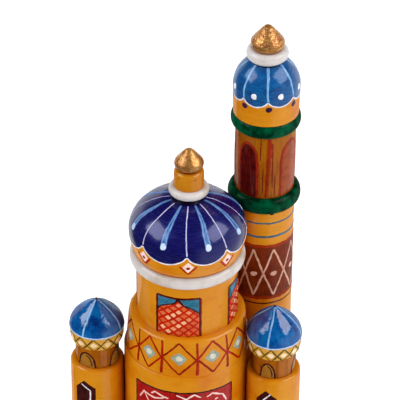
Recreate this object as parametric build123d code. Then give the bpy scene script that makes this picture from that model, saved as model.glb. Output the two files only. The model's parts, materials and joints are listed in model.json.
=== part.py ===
"""Turned-wood souvenir of a domed building with two side towers and a tall minaret.

Millimetres, +Z up, the origin at the middle of the base board's underside, the painted front
towards -Y. Every piece is turned on a lathe and glued on a tenon, a peg or a core dowel.
The four towers stand on one board and are screwed to it from below.
"""
from build123d import *
from math import acos, asin, cos, degrees, radians, sin, sqrt
import os

# Base board
BOARD_LENGTH = 92.0
BOARD_DEPTH = 65.0
BOARD_HEIGHT = 7.0
BOARD_CORNER_RADIUS = 10.0
BOARD_TOP_ROUNDING = 1.6

# Where the tower axes stand
MAIN_Y = -5.45
SIDE_TOWER_REACH = 31.53  # from the lower drum's axis, so that the towers just touch
SIDE_TOWER_ANGLE = 83.5  # degrees from the front, to each side of the main tower
MINARET_OFFSET = (24.45, 21.7)

# Wood screws through the board, and the fit of glued joints
SCREW_RADIUS = 1.5
SCREW_HEAD_RADIUS = 2.9
SCREW_HEAD_HEIGHT = 1.7
SCREW_HEAD_RECESS = 0.4
SCREW_END = 21.0
SCREW_POINT = 2.5
SCREW_HOLE_CLEARANCE = 0.25
SCREW_PAIR_OFFSET = 11.0
GLUE_GAP = 0.05
HOLE_SPARE_DEPTH = 0.5

# Main tower: outside radii and the heights of the seams
LOWER_DRUM_RADIUS = 22.0
LOWER_DRUM_SHIFT = -0.3  # the lower drum is glued a little to the left of the tier
LOWER_DRUM_TOP = 61.8
LOWER_DRUM_ROUNDING = 0.5
TIER_FOOT_RADIUS = 21.5
TIER_LEDGE_RADIUS = 20.5
TIER_TOP = 76.6
TIER_ROUNDING = 1.5
UPPER_DRUM_RADIUS = 17.6
UPPER_DRUM_TOP = 97.6
CORNICE_RADIUS = 20.0
CORNICE_BULGE = 2.3
CORNICE_TOP = 102.4
DOME_RADIUS = 20.2
DOME_EQUATOR = 110.8
DOME_RISE = 13.3
DOME_SKIRT_DROP = 20.0
DOME_SEAT_RADIUS = 5.4
MAIN_DOWEL_RADIUS = 3.0
MAIN_DOWEL_ENDS = (50.0, 116.0)

# Main tower's lantern neck and gilt finial
MAIN_COLLAR_RADIUS = 6.93
MAIN_COLLAR_BULGE = 1.6
MAIN_COLLAR_FOOT_RADIUS = 4.8
MAIN_COLLAR_BOTTOM = 125.4
MAIN_COLLAR_TOP = 128.6
MAIN_NECK_RADIUS = 5.15
MAIN_NECK_TOP = 135.2
MAIN_NECK_SHOULDER = 1.5
MAIN_NECK_TENON_RADIUS = 2.5
MAIN_NECK_TENON_END = 118.0
MAIN_FINIAL_PEG_RADIUS = 1.6
MAIN_FINIAL_PEG_END = 130.0
MAIN_FINIAL_OUTLINE = [
    (3.3, MAIN_NECK_TOP),
    (4.4, 136.0),
    (4.95, 136.9),
    (5.03, 137.7),
    (4.8, 138.5),
    (4.12, 139.4),
    (3.3, 140.4),
    (2.45, 141.4),
    (1.6, 142.35),
    (0.95, 142.85),
]
MAIN_FINIAL_TIP = 143.05
LANTERN_SHIFT = 0.35  # collar, neck and finial are glued a little to the right of the dome's axis

# Side towers
SIDE_BODY_RADIUS = 9.5
SIDE_BODY_TOP = 55.2
SIDE_LIFTS = {"left": -0.4, "right": 0.5}  # the two bodies were cut to slightly different lengths
SIDE_BODY_ROUNDING = 1.1
SIDE_NECK_RADIUS = 7.7
SIDE_CUP_BOTTOM = 63.3
SIDE_CUP_RADIUS = 9.68
SIDE_CUP_TOP = 69.6
SIDE_CUP_OUTLINE = [(8.7, 64.2), (9.25, 65.7), (9.42, 67.5)]
SIDE_DOME_OUTLINE = [(9.3, 0.21), (7.2, 0.48), (4.1, 0.71), (1.1, 0.90)]  # radius, share of the rise
SIDE_DOME_TIPS = {"left": 81.1, "right": 82.2}  # before the lift
SIDE_TENON_RADIUS = 3.5
SIDE_TENON_LENGTH = 9.0
SIDE_SPIGOT_RADIUS = 3.0
SIDE_SPIGOT_LENGTH = 5.0

# Minaret
SHAFT_FOOT_RADIUS = 10.85
SHAFT_TOP_RADIUS = 10.6
SHAFT_TOP = 110.4
LOWER_RING_RADIUS = 12.7
LOWER_RING_BULGE = 2.2
LOWER_RING_TOP = 116.5
GALLERY_END_RADIUS = 10.3
GALLERY_MIDDLE_RADIUS = 10.5
GALLERY_TOP = 141.4
UPPER_RING_RADIUS = 12.05
UPPER_RING_BULGE = 1.6
UPPER_RING_TOP = 146.6
HEAD_FOOT_RADIUS = 11.3
HEAD_RADIUS = 11.45
HEAD_EQUATOR = 157.0
HEAD_RISE = 11.2
HEAD_SEAT_RADIUS = 5.4
MINARET_DOWEL_RADIUS = 2.5
MINARET_DOWEL_ENDS = (98.0, 156.0)
MINARET_COLLAR_RADIUS = 7.2
MINARET_COLLAR_BULGE = 1.8
MINARET_COLLAR_FOOT_RADIUS = 5.0
MINARET_COLLAR_BOTTOM = 167.3
MINARET_COLLAR_TOP = 171.4
MINARET_FINIAL_PEG_RADIUS = 2.0
MINARET_FINIAL_PEG_END = 160.0
MINARET_FINIAL_OUTLINE = [
    (4.5, MINARET_COLLAR_TOP),
    (5.35, 172.0),
    (5.74, 173.0),
    (5.7, 174.0),
    (5.1, 175.0),
    (4.35, 176.0),
    (3.5, 177.0),
    (2.6, 178.0),
    (1.65, 179.0),
    (0.8, 179.65),
]
MINARET_FINIAL_TIP = 180.0


def turned(*edges):
    """Spin a closed outline of (radius, height) points into a solid about +Z."""
    outline = Plane.XZ * make_face([line.edge() for line in edges])
    return revolve(outline, Axis.Z)


def rod(radius, bottom, top):
    """A plain round rod or, cut from a piece, a plain round hole."""
    return Pos(0, 0, bottom) * Cylinder(radius, top - bottom, align=(Align.CENTER, Align.CENTER, Align.MIN))


def seat_height(equator, radius, rise, seat_radius):
    """Height of the flat seat that cuts off an elliptical dome."""
    return equator + rise * sqrt(1 - (seat_radius / radius) ** 2)


def dome_curve(equator, radius, rise, seat_radius):
    """The side of an elliptical dome, from its equator up to its seat."""
    seat_angle = acos(seat_radius / radius)
    angles = [seat_angle * step / 5 for step in range(6)]
    return Spline(
        *[(radius * cos(angle), equator + rise * sin(angle)) for angle in angles],
        tangents=((0, 1), (-radius * sin(seat_angle), rise * cos(seat_angle))),
    )


def bead(radius, bulge, bottom, top, bore):
    """A ring with a half-round outer edge and a bore for its dowel."""
    middle = (bottom + top) / 2
    shoulder = radius - bulge
    return turned(
        Line((bore, bottom), (shoulder, bottom)),
        EllipticalCenterArc((shoulder, middle), bulge, (top - bottom) / 2, -90, arc_size=180),
        Line((shoulder, top), (bore, top)),
        Line((bore, top), (bore, bottom)),
    )


def collar(radius, bulge, bottom, top, foot_radius, foot_bottom, bore):
    """A bead on a narrow foot, which leaves a dark groove under the bead."""
    ring = bead(radius, bulge, bottom, top, bore)
    foot = rod(foot_radius, foot_bottom, bottom) - rod(bore, foot_bottom, bottom)
    return ring + foot


def finial(outline, tip, peg_radius, peg_end):
    """An onion-shaped knob with a peg below it."""
    base_radius, base_height = outline[0]
    return turned(
        Line((0, peg_end), (peg_radius, peg_end)),
        Line((peg_radius, peg_end), (peg_radius, base_height)),
        Line((peg_radius, base_height), (base_radius, base_height)),
        Spline(*outline, (0, tip), tangents=((0.8, 1), (-1, 0.3))),
        Line((0, tip), (0, peg_end)),
    )


def screw_hole(top):
    """Pilot hole in a tower's foot, as wide as the screw."""
    return rod(SCREW_RADIUS, BOARD_HEIGHT, top)


def wood_screw():
    """A countersunk screw standing on its head, with a plain shank and a point."""
    head_top = SCREW_HEAD_RECESS + SCREW_HEAD_HEIGHT
    return turned(
        Line((0, SCREW_HEAD_RECESS), (SCREW_HEAD_RADIUS, SCREW_HEAD_RECESS)),
        Line((SCREW_HEAD_RADIUS, SCREW_HEAD_RECESS), (SCREW_RADIUS, head_top)),
        Line((SCREW_RADIUS, head_top), (SCREW_RADIUS, SCREW_END - SCREW_POINT)),
        Line((SCREW_RADIUS, SCREW_END - SCREW_POINT), (0, SCREW_END)),
        Line((0, SCREW_END), (0, SCREW_HEAD_RECESS)),
    )


def board_screw_hole():
    """Clearance hole through the board with a countersink for the head."""
    hole_radius = SCREW_RADIUS + SCREW_HOLE_CLEARANCE
    sink_radius = SCREW_HEAD_RADIUS + SCREW_HOLE_CLEARANCE
    sink_top = SCREW_HEAD_RECESS + SCREW_HEAD_HEIGHT
    return turned(
        Line((0, 0), (sink_radius, 0)),
        Line((sink_radius, 0), (sink_radius, SCREW_HEAD_RECESS)),
        Line((sink_radius, SCREW_HEAD_RECESS), (hole_radius, sink_top)),
        Line((hole_radius, sink_top), (hole_radius, BOARD_HEIGHT)),
        Line((hole_radius, BOARD_HEIGHT), (0, BOARD_HEIGHT)),
        Line((0, BOARD_HEIGHT), (0, 0)),
    )


def base_board(screw_places):
    """The rounded board under all four towers, drilled for the screws."""
    board = extrude(RectangleRounded(BOARD_LENGTH, BOARD_DEPTH, BOARD_CORNER_RADIUS), BOARD_HEIGHT)
    board = fillet(board.faces().sort_by(Axis.Z)[-1].edges(), BOARD_TOP_ROUNDING)
    for x, y in screw_places:
        board -= Pos(x, y, 0) * board_screw_hole()
    return board


def rounded_drum(foot_radius, top_radius, bottom, top, rounding):
    """A straight or slightly tapered drum with a rounded upper edge."""
    return turned(
        Line((0, bottom), (foot_radius, bottom)),
        Line((foot_radius, bottom), (top_radius, top - rounding)),
        EllipticalCenterArc((top_radius - rounding, top - rounding), rounding, rounding, 0, arc_size=90),
        Line((top_radius - rounding, top), (0, top)),
        Line((0, top), (0, bottom)),
    )


def main_lower_drum():
    """The widest drum, on the board, with its bores on the axis of the pieces above it."""
    drum = Pos(LOWER_DRUM_SHIFT, 0, 0) * rounded_drum(
        LOWER_DRUM_RADIUS, LOWER_DRUM_RADIUS, BOARD_HEIGHT, LOWER_DRUM_TOP, LOWER_DRUM_ROUNDING
    )
    drum -= rod(MAIN_DOWEL_RADIUS + GLUE_GAP, MAIN_DOWEL_ENDS[0] - HOLE_SPARE_DEPTH, LOWER_DRUM_TOP)
    for side in (-1, 1):
        drum -= Pos(side * SCREW_PAIR_OFFSET, 0, 0) * screw_hole(SCREW_END + HOLE_SPARE_DEPTH)
    return drum


def main_diamond_tier():
    """The tapered tier with the ledge on top."""
    tier = rounded_drum(TIER_FOOT_RADIUS, TIER_LEDGE_RADIUS, LOWER_DRUM_TOP, TIER_TOP, TIER_ROUNDING)
    return tier - rod(MAIN_DOWEL_RADIUS + GLUE_GAP, LOWER_DRUM_TOP, TIER_TOP)


def main_upper_drum():
    """The narrower drum that carries the four window panels."""
    drum = rod(UPPER_DRUM_RADIUS, TIER_TOP, UPPER_DRUM_TOP)
    return drum - rod(MAIN_DOWEL_RADIUS + GLUE_GAP, TIER_TOP, UPPER_DRUM_TOP)


def main_cornice_ring():
    """The white bead between the upper drum and the dome."""
    return bead(CORNICE_RADIUS, CORNICE_BULGE, UPPER_DRUM_TOP, CORNICE_TOP, MAIN_DOWEL_RADIUS + GLUE_GAP)


def main_dome():
    """The big dome with its skirt, bored for the core dowel and, off its axis, for the neck's tenon."""
    skirt_angle = asin((DOME_EQUATOR - CORNICE_TOP) / DOME_SKIRT_DROP)
    foot_radius = DOME_RADIUS * cos(skirt_angle)
    seat = seat_height(DOME_EQUATOR, DOME_RADIUS, DOME_RISE, DOME_SEAT_RADIUS)
    dome = turned(
        Line((0, CORNICE_TOP), (foot_radius, CORNICE_TOP)),
        EllipticalCenterArc(
            (0, DOME_EQUATOR),
            DOME_RADIUS,
            DOME_SKIRT_DROP,
            -degrees(skirt_angle),
            arc_size=degrees(skirt_angle),
        ),
        dome_curve(DOME_EQUATOR, DOME_RADIUS, DOME_RISE, DOME_SEAT_RADIUS),
        Line((DOME_SEAT_RADIUS, seat), (0, seat)),
        Line((0, seat), (0, CORNICE_TOP)),
    )
    dome -= rod(MAIN_DOWEL_RADIUS + GLUE_GAP, CORNICE_TOP, MAIN_DOWEL_ENDS[1] + HOLE_SPARE_DEPTH)
    tenon_bottom = MAIN_NECK_TENON_END - HOLE_SPARE_DEPTH
    return dome - Pos(LANTERN_SHIFT, 0, 0) * rod(MAIN_NECK_TENON_RADIUS + GLUE_GAP, tenon_bottom, seat)


def main_collar():
    """The white collar round the neck's tenon, on the dome's flat seat."""
    seat = seat_height(DOME_EQUATOR, DOME_RADIUS, DOME_RISE, DOME_SEAT_RADIUS)
    return collar(
        MAIN_COLLAR_RADIUS,
        MAIN_COLLAR_BULGE,
        MAIN_COLLAR_BOTTOM,
        MAIN_COLLAR_TOP,
        MAIN_COLLAR_FOOT_RADIUS,
        seat,
        MAIN_NECK_TENON_RADIUS + GLUE_GAP,
    )


def main_neck():
    """The lantern neck, with a tenon through the collar and a hole for the finial."""
    neck = rounded_drum(
        MAIN_NECK_RADIUS, MAIN_NECK_RADIUS, MAIN_COLLAR_TOP, MAIN_NECK_TOP, MAIN_NECK_SHOULDER
    )
    neck += rod(MAIN_NECK_TENON_RADIUS, MAIN_NECK_TENON_END, MAIN_COLLAR_TOP)
    peg_hole_bottom = MAIN_FINIAL_PEG_END - HOLE_SPARE_DEPTH
    return neck - rod(MAIN_FINIAL_PEG_RADIUS + GLUE_GAP, peg_hole_bottom, MAIN_NECK_TOP)


def side_body(lift):
    """A side tower's plain round body."""
    top = SIDE_BODY_TOP + lift
    body = rounded_drum(SIDE_BODY_RADIUS, SIDE_BODY_RADIUS, BOARD_HEIGHT, top, SIDE_BODY_ROUNDING)
    tenon_bottom = top - SIDE_TENON_LENGTH - HOLE_SPARE_DEPTH
    body -= rod(SIDE_TENON_RADIUS + GLUE_GAP, tenon_bottom, top)
    return body - screw_hole(SCREW_END + HOLE_SPARE_DEPTH)


def side_lantern():
    """A side tower's neck and flared cup, with a tenon below and a hole above."""
    lantern = turned(
        Line((0, SIDE_BODY_TOP), (SIDE_NECK_RADIUS, SIDE_BODY_TOP)),
        Line((SIDE_NECK_RADIUS, SIDE_BODY_TOP), (SIDE_NECK_RADIUS, SIDE_CUP_BOTTOM)),
        Spline((SIDE_NECK_RADIUS, SIDE_CUP_BOTTOM), *SIDE_CUP_OUTLINE, (SIDE_CUP_RADIUS, SIDE_CUP_TOP)),
        Line((SIDE_CUP_RADIUS, SIDE_CUP_TOP), (0, SIDE_CUP_TOP)),
        Line((0, SIDE_CUP_TOP), (0, SIDE_BODY_TOP)),
    )
    lantern += rod(SIDE_TENON_RADIUS, SIDE_BODY_TOP - SIDE_TENON_LENGTH, SIDE_BODY_TOP)
    spigot_bottom = SIDE_CUP_TOP - SIDE_SPIGOT_LENGTH - HOLE_SPARE_DEPTH
    return lantern - rod(SIDE_SPIGOT_RADIUS + GLUE_GAP, spigot_bottom, SIDE_CUP_TOP)


def side_dome(tip):
    """A side tower's tent-shaped dome, drawn up to a small point."""
    rise = tip - SIDE_CUP_TOP
    outline = [(radius, SIDE_CUP_TOP + share * rise) for radius, share in SIDE_DOME_OUTLINE]
    spigot_bottom = SIDE_CUP_TOP - SIDE_SPIGOT_LENGTH
    return turned(
        Line((0, spigot_bottom), (SIDE_SPIGOT_RADIUS, spigot_bottom)),
        Line((SIDE_SPIGOT_RADIUS, spigot_bottom), (SIDE_SPIGOT_RADIUS, SIDE_CUP_TOP)),
        Line((SIDE_SPIGOT_RADIUS, SIDE_CUP_TOP), (SIDE_CUP_RADIUS, SIDE_CUP_TOP)),
        Spline((SIDE_CUP_RADIUS, SIDE_CUP_TOP), *outline, (0, tip), tangents=((0, 1), (-0.55, 1))),
        Line((0, tip), (0, spigot_bottom)),
    )


def minaret_shaft():
    """The tall, slightly tapered shaft."""
    shaft = turned(
        Line((0, BOARD_HEIGHT), (SHAFT_FOOT_RADIUS, BOARD_HEIGHT)),
        Line((SHAFT_FOOT_RADIUS, BOARD_HEIGHT), (SHAFT_TOP_RADIUS, SHAFT_TOP)),
        Line((SHAFT_TOP_RADIUS, SHAFT_TOP), (0, SHAFT_TOP)),
        Line((0, SHAFT_TOP), (0, BOARD_HEIGHT)),
    )
    shaft -= rod(MINARET_DOWEL_RADIUS + GLUE_GAP, MINARET_DOWEL_ENDS[0] - HOLE_SPARE_DEPTH, SHAFT_TOP)
    return shaft - screw_hole(SCREW_END + HOLE_SPARE_DEPTH)


def minaret_lower_ring():
    """The thick green ring under the gallery."""
    bore = MINARET_DOWEL_RADIUS + GLUE_GAP
    return bead(LOWER_RING_RADIUS, LOWER_RING_BULGE, SHAFT_TOP, LOWER_RING_TOP, bore)


def minaret_gallery_drum():
    """The slightly barrelled drum between the two green rings."""
    bore = MINARET_DOWEL_RADIUS + GLUE_GAP
    middle = (LOWER_RING_TOP + GALLERY_TOP) / 2
    return turned(
        Line((bore, LOWER_RING_TOP), (GALLERY_END_RADIUS, LOWER_RING_TOP)),
        ThreePointArc(
            (GALLERY_END_RADIUS, LOWER_RING_TOP),
            (GALLERY_MIDDLE_RADIUS, middle),
            (GALLERY_END_RADIUS, GALLERY_TOP),
        ),
        Line((GALLERY_END_RADIUS, GALLERY_TOP), (bore, GALLERY_TOP)),
        Line((bore, GALLERY_TOP), (bore, LOWER_RING_TOP)),
    )


def minaret_upper_ring():
    """The thinner green ring over the gallery."""
    bore = MINARET_DOWEL_RADIUS + GLUE_GAP
    return bead(UPPER_RING_RADIUS, UPPER_RING_BULGE, GALLERY_TOP, UPPER_RING_TOP, bore)


def minaret_head():
    """The minaret's domed head, with its plain band below the dome."""
    seat = seat_height(HEAD_EQUATOR, HEAD_RADIUS, HEAD_RISE, HEAD_SEAT_RADIUS)
    head = turned(
        Line((0, UPPER_RING_TOP), (HEAD_FOOT_RADIUS, UPPER_RING_TOP)),
        Line((HEAD_FOOT_RADIUS, UPPER_RING_TOP), (HEAD_RADIUS, HEAD_EQUATOR)),
        dome_curve(HEAD_EQUATOR, HEAD_RADIUS, HEAD_RISE, HEAD_SEAT_RADIUS),
        Line((HEAD_SEAT_RADIUS, seat), (0, seat)),
        Line((0, seat), (0, UPPER_RING_TOP)),
    )
    head -= rod(MINARET_DOWEL_RADIUS + GLUE_GAP, UPPER_RING_TOP, MINARET_DOWEL_ENDS[1] + HOLE_SPARE_DEPTH)
    peg_hole_bottom = MINARET_FINIAL_PEG_END - HOLE_SPARE_DEPTH
    return head - rod(MINARET_FINIAL_PEG_RADIUS + GLUE_GAP, peg_hole_bottom, seat)


def minaret_collar():
    """The white collar on the head's flat seat."""
    seat = seat_height(HEAD_EQUATOR, HEAD_RADIUS, HEAD_RISE, HEAD_SEAT_RADIUS)
    return collar(
        MINARET_COLLAR_RADIUS,
        MINARET_COLLAR_BULGE,
        MINARET_COLLAR_BOTTOM,
        MINARET_COLLAR_TOP,
        MINARET_COLLAR_FOOT_RADIUS,
        seat,
        MINARET_FINIAL_PEG_RADIUS + GLUE_GAP,
    )


def side_tower_place(side):
    """Where a side tower's axis stands; side is -1 for the left one and 1 for the right one."""
    angle = radians(SIDE_TOWER_ANGLE)
    across = LOWER_DRUM_SHIFT + side * SIDE_TOWER_REACH * sin(angle)
    return across, MAIN_Y - SIDE_TOWER_REACH * cos(angle)


def main():
    """Make every piece, put it in its place and write one STEP file for it."""
    main_place = (0.0, MAIN_Y)
    left_place = side_tower_place(-1)
    right_place = side_tower_place(1)
    minaret_place = (MINARET_OFFSET[0], MAIN_Y + MINARET_OFFSET[1])
    screw_places = [
        (-SCREW_PAIR_OFFSET, MAIN_Y),
        (SCREW_PAIR_OFFSET, MAIN_Y),
        left_place,
        right_place,
        minaret_place,
    ]
    main_pieces = {
        "main_lower_drum": main_lower_drum(),
        "main_diamond_tier": main_diamond_tier(),
        "main_upper_drum": main_upper_drum(),
        "main_cornice_ring": main_cornice_ring(),
        "main_dome": main_dome(),
        "main_core_dowel": rod(MAIN_DOWEL_RADIUS, *MAIN_DOWEL_ENDS),
    }
    lantern_pieces = {
        "main_collar": main_collar(),
        "main_neck": main_neck(),
        "main_finial": finial(
            MAIN_FINIAL_OUTLINE, MAIN_FINIAL_TIP, MAIN_FINIAL_PEG_RADIUS, MAIN_FINIAL_PEG_END
        ),
    }
    minaret_pieces = {
        "minaret_shaft": minaret_shaft(),
        "minaret_lower_ring": minaret_lower_ring(),
        "minaret_gallery_drum": minaret_gallery_drum(),
        "minaret_upper_ring": minaret_upper_ring(),
        "minaret_head": minaret_head(),
        "minaret_collar": minaret_collar(),
        "minaret_finial": finial(
            MINARET_FINIAL_OUTLINE, MINARET_FINIAL_TIP, MINARET_FINIAL_PEG_RADIUS, MINARET_FINIAL_PEG_END
        ),
        "minaret_core_dowel": rod(MINARET_DOWEL_RADIUS, *MINARET_DOWEL_ENDS),
    }
    pieces = {
        "base_board": base_board(screw_places),
        "base_screws": Compound([Pos(x, y, 0) * wood_screw() for x, y in screw_places]),
    }
    for name, piece in main_pieces.items():
        pieces[name] = Pos(*main_place, 0) * piece
    for name, piece in lantern_pieces.items():
        pieces[name] = Pos(LANTERN_SHIFT, MAIN_Y, 0) * piece
    for side, place in (("left", left_place), ("right", right_place)):
        lift = SIDE_LIFTS[side]
        pieces[f"{side}_tower_body"] = Pos(*place, 0) * side_body(lift)
        pieces[f"{side}_tower_lantern"] = Pos(*place, lift) * side_lantern()
        pieces[f"{side}_tower_dome"] = Pos(*place, lift) * side_dome(SIDE_DOME_TIPS[side])
    for name, piece in minaret_pieces.items():
        pieces[name] = Pos(*minaret_place, 0) * piece

    os.makedirs("parts", exist_ok=True)
    for name, piece in pieces.items():
        export_step(piece, f"parts/{name}.step")


main()
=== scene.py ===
"""Looks of the turned-wood souvenir: brushed paint laid over the CAD pieces, lacquer, lights and camera.

Every painted shape is a thin closed shell on the outside of a turned piece. It is placed by an
angle round the tower's axis, in degrees from the front and positive to the right, and by a height
in millimetres. Blender's own numbers are in metres, as everywhere in the frame.
"""
import json
import math
import random

import bmesh
import bpy
import numpy as np
from mathutils import Matrix, Vector


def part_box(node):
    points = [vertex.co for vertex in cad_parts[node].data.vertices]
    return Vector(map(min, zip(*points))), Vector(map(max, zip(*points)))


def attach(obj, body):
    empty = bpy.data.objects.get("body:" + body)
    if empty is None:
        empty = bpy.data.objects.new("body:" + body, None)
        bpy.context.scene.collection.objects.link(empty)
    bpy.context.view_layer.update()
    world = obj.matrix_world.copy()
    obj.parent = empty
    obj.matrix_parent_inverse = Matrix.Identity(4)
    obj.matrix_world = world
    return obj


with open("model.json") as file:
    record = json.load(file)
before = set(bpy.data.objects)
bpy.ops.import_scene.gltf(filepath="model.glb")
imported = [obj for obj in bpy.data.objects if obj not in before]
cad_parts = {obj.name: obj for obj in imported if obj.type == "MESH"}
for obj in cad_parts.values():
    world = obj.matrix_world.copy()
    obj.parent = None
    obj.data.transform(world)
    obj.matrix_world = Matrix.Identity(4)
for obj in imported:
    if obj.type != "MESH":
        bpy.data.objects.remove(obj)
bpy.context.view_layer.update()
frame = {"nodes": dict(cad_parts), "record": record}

MM = 0.001
FULL_TURN = 360.0
RNG = random.Random(1453)
vary = RNG.uniform

COAT = 0.05  # thickness of a coat of paint
SUNK = -0.02  # where a painted edge dips into the wood
UNDERSIDE = -0.07  # the hidden lower face of a paint shell


def srgb(*values):
    """Linear colour from the usual red, green and blue of 0 to 255."""
    shares = [value / 255 for value in values]
    linear = [share / 12.92 if share <= 0.04045 else ((share + 0.055) / 1.055) ** 2.4 for share in shares]
    return (*linear, 1.0)


def add_object(name, data):
    made = bpy.data.objects.new(name, data)
    bpy.context.scene.collection.objects.link(made)
    return made


# ---------------- materials


class Nodes:
    """Short calls for the shader nodes of one tree."""

    def __init__(self, tree):
        self.tree = tree

    def node(self, kind, inputs=None, **settings):
        made = self.tree.nodes.new(f"ShaderNode{kind}")
        for setting, value in settings.items():
            setattr(made, setting, value)
        for socket, value in (inputs or {}).items():
            self.put(value, made.inputs[socket])
        return made

    def put(self, value, socket):
        if isinstance(value, bpy.types.NodeSocket):
            self.tree.links.new(value, socket)
        else:
            socket.default_value = value

    def between(self, value, low, high):
        """Stretch a value so that low becomes 0 and high becomes 1."""
        inputs = {"Value": value, "From Min": low, "From Max": high}
        return self.node("MapRange", inputs).outputs["Result"]

    def math(self, operation, *values):
        return self.node("Math", dict(enumerate(values)), operation=operation).outputs[0]

    def mix(self, share, first, second):
        inputs = {"Factor": share, 6: first, 7: second}
        return self.node("Mix", inputs, data_type="RGBA").outputs[2]


class Finish(Nodes):
    """A new material with its Principled shader, and the patterns in front of it."""

    def __init__(self, name, **values):
        self.material = bpy.data.materials.new(name)
        self.material.use_nodes = True
        super().__init__(self.material.node_tree)
        for socket, value in values.items():
            self.into(socket.replace("_", " "), value)

    def into(self, socket, value):
        self.put(value, self.tree.nodes["Principled BSDF"].inputs[socket])

    def stretched(self, scale, vector=None):
        if vector is None:
            vector = self.node("TexCoord").outputs["Object"]
        return self.node("Mapping", {"Vector": vector, "Scale": scale}).outputs[0]

    def noise(self, scale, detail=3.0, roughness=0.55, vector=None):
        """Noise with so many grains to a unit along each axis."""
        inputs = {"Vector": self.stretched(scale, vector), "Scale": 1.0}
        inputs |= {"Detail": detail, "Roughness": roughness}
        return self.node("TexNoise", inputs).outputs["Fac"]

    def corners(self, reach):
        """How open the surface is: low in corners that are narrower than the reach."""
        return self.node("AmbientOcclusion", {"Distance": reach}, samples=6).outputs["AO"]

    def tint(self, shade, colour, value, low, high, share=1.0):
        """Lay a colour over a shade where a value nears high, up to the share."""
        return self.mix(self.math("MULTIPLY", self.between(value, low, high), share), shade, srgb(*colour))

    def bump(self, height, strength, distance, normal=None):
        inputs = {"Height": height, "Strength": strength, "Distance": distance}
        if normal is not None:
            inputs["Normal"] = normal
        return self.node("Bump", inputs).outputs["Normal"]

    def thin_out(self, socket, full):
        """Fade a shine towards a piece's outline, so that a pale room doesn't bleach its rims."""
        facing = self.node("LayerWeight", {"Blend": 0.5}).outputs["Facing"]
        self.into(socket, self.math("MULTIPLY", self.between(facing, 1.05, 0.5), full))


def lacquer(
    name, colour, deep, pale, corner_shade, bounce_light=None,
    streak=0.22, mottle=0.5, lumps=0.3, rough=0.35, gloss=0.9, grain=1.0, coat_ior=1.5, upright=False,
):
    """Glossy lacquer brushed round or up a turned piece: bands, clouds, specks, waves, and painted shade with
    painted bounce light in its corners.
    """
    make = Finish(name, Coat_Roughness=0.09, Coat_IOR=coat_ior, Specular_IOR_Level=0.0)
    make.thin_out("Coat Weight", gloss)
    bands = make.noise((800, 800, 40) if upright else (60, 60, 1200), 4.0)
    fine = make.noise((2400, 2400, 70) if upright else (25, 25, 4200), 2.0)
    clouds = make.noise((95 * grain, 95 * grain, 80 * grain), 4.0)
    specks = make.noise((760, 760, 760), 1.0, 0.3)
    corners = make.corners(0.011)
    shade = make.tint(srgb(*colour), pale, clouds, 0.42, 0.72, mottle)
    shade = make.tint(shade, deep, clouds, 0.47, 0.3, mottle)
    shade = make.tint(shade, deep, bands, 0.5, 0.74, streak)
    shade = make.tint(shade, pale, fine, 0.55, 0.8, streak * 0.6)
    shade = make.tint(shade, deep, specks, 0.73, 0.78, 0.6)
    # Painted shade: corners darken, first to the painted bounce light or the deep colour, then to the shade
    # colour.
    shade = make.tint(shade, bounce_light or deep, corners, 0.85, 0.35, 0.6)
    make.into("Base Color", make.tint(shade, corner_shade, corners, 0.42, 0.06, 0.9))
    make.into("Roughness", make.math("MULTIPLY_ADD", make.between(clouds, 0.3, 0.7), 0.12, rough))
    ripple = make.bump(fine, 0.12 * streak, 0.00005)
    make.into("Normal", make.bump(make.noise((260, 260, 330), 2.0), lumps, 0.00012, ripple))
    make.into("Coat Normal", make.bump(clouds, lumps * 0.6, 0.0003))
    return make.material


def brushed(name, colour, deep, pale, spread=0.8, rough=0.3, gloss=0.85, under=None, sheen=None, waves=0.3):
    """Paint laid with a small brush: bristle streaks along the stroke and a tone of its own per stroke."""
    make = Finish(name, Coat_Roughness=0.1, Coat_IOR=1.5, Specular_IOR_Level=0.0)
    make.thin_out("Coat Weight", gloss)
    if sheen is not None:
        make.thin_out("Specular IOR Level", 0.55)
        make.into("Specular Tint", (*sheen, 1.0))
    tone = make.node("Attribute", attribute_name="tone").outputs["Fac"]
    brush = make.node("Attribute", attribute_name="brush").outputs["Vector"]
    bristles = make.noise((0.22, 3.4, 7.3), 4.0, 0.65, brush)
    pools = make.noise((420, 420, 420))
    shade = make.tint(srgb(*colour), pale, bristles, 0.4, 0.72, spread)
    shade = make.tint(shade, deep, pools, 0.45, 0.75, spread)
    shade = make.tint(shade, pale, tone, 0.5, 1.0, 0.75)
    shade = make.tint(shade, deep, tone, 0.5, 0.0, 0.75)
    if under is not None:
        shade = make.tint(shade, under, bristles, 0.5, 0.33, 0.9)
    make.into("Base Color", shade)
    make.into("Roughness", make.math("MULTIPLY_ADD", bristles, 0.2, rough))
    make.into("Normal", make.bump(bristles, 0.35, 0.00006))
    make.into("Coat Normal", make.bump(pools, waves, 0.0001))
    return make.material


def gilt(name, hammer, dent):
    """Bronze-powder paint: warm metallic flakes, brush ridges, rubbed, browner hollows, and a painted warm
    reflection in its corners.
    """
    make = Finish(name, Metallic=0.66, Coat_Weight=0.25, Coat_Roughness=0.2)
    flakes = make.noise((2600, 2600, 2600), 2.0)
    ridges = make.noise((300, 300, 900), 4.0)
    shade = make.tint(srgb(168, 90, 2), (214, 154, 70), ridges, 0.38, 0.68)
    shade = make.tint(shade, (250, 238, 186), flakes, 0.5, 0.74, 0.55)
    shade = make.tint(shade, (136, 66, 8), ridges, 0.45, 0.25, 0.8)
    # Painted reflection: near other pieces the gilt turns a bright warm orange.
    make.into("Base Color", make.tint(shade, (232, 132, 20), make.corners(0.004), 0.75, 0.3, 0.8))
    make.into("Roughness", make.math("MULTIPLY_ADD", flakes, 0.25, 0.22))
    dents = make.node("TexVoronoi", {"Vector": make.stretched(dent), "Scale": 1.0})
    pitted = make.bump(dents.outputs["Distance"], hammer, 0.0005)
    make.into("Normal", make.bump(ridges, 0.35, 0.00015, pitted))
    return make.material


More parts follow.
